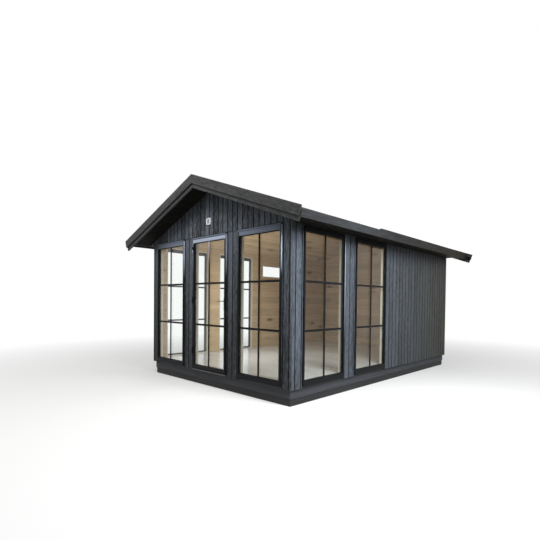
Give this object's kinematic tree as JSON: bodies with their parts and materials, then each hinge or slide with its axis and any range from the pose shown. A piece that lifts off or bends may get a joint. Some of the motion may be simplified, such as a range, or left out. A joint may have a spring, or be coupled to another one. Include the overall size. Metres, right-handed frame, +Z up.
{
  "type": "garden cabin",
  "caption": "Timber garden cabin with a glazed gable end, tall side windows, a hinged glazed door and a low saddle roof.",
  "frame": {"origin": "on the ground, at the middle of the box of the whole cabin", "axes": "+Z up, +Y from the glazed front to the back along the ridge, +X to the right seen from the front"},
  "size_m": [4.468, 5.49, 3.2112],
  "materials": {
    "stained_cladding": "charcoal stain on rough-sawn vertical boards",
    "stained_trim": "charcoal stain, weathered",
    "base_timber": "dark impregnated timber",
    "frame_paint": "anthracite, satin",
    "pane_glass": "clear double glazing",
    "inner_pine": "pale pine boards",
    "lining_paint": "painted off-white, satin",
    "framing_timber": "sawn pine",
    "floor_boards": "white-washed boards",
    "roofing_felt": "mineral felt, matt",
    "white_vent": "white, matt",
    "satin_metal": "satin metal"
  },
  "bodies": {
    "cabin": {"front_cladding": "stained_cladding", "front_gable_cladding": "stained_cladding", "back_cladding": "stained_cladding", "right_cladding": "stained_cladding", "left_cladding": "stained_cladding", "barge_front_upper": "stained_trim", "barge_front_lower": "stained_trim", "barge_back_upper": "stained_trim", "barge_back_lower": "stained_trim", "eave_fascias": "stained_trim", "edge_battens": "stained_trim", "verge_soffits": "stained_trim", "eave_soffits": "stained_trim", "head_drips": "stained_trim", "skirt_sides": "stained_trim", "skirt_ends": "stained_trim", "base_beams_long": "base_timber", "base_beams_cross": "base_timber", "front_window_frames": "frame_paint", "right_window_frames": "frame_paint", "left_window_frames": "frame_paint", "high_window_frame": "frame_paint", "door_frame": "frame_paint", "window_panes": "pane_glass", "front_piers": "inner_pine", "front_gable": "inner_pine", "back_wall": "inner_pine", "right_wall": "inner_pine", "left_wall": "inner_pine", "side_headers": "inner_pine", "ceiling": "inner_pine", "window_linings": "lining_paint", "sills_sides": "framing_timber", "sills_ends": "framing_timber", "floor_joists": "framing_timber", "rafters": "framing_timber", "ridge_beam": "framing_timber", "floor": "floor_boards", "roof_right": "roofing_felt", "roof_left": "roofing_felt", "ridge_cap": "roofing_felt", "gable_vent": "white_vent", "door_threshold": "satin_metal"},
    "door": {"door_leaf": "frame_paint", "door_pane": "pane_glass", "door_handle": "satin_metal"}
  },
  "joints": [
    {"name": "door_hinge", "type": "hinge", "parent": "cabin", "child": "door", "pos_m": [-0.43275, -2.448, 0.2585], "axis": [0, 0, -1], "range_deg": [0, 100]}
  ]
}
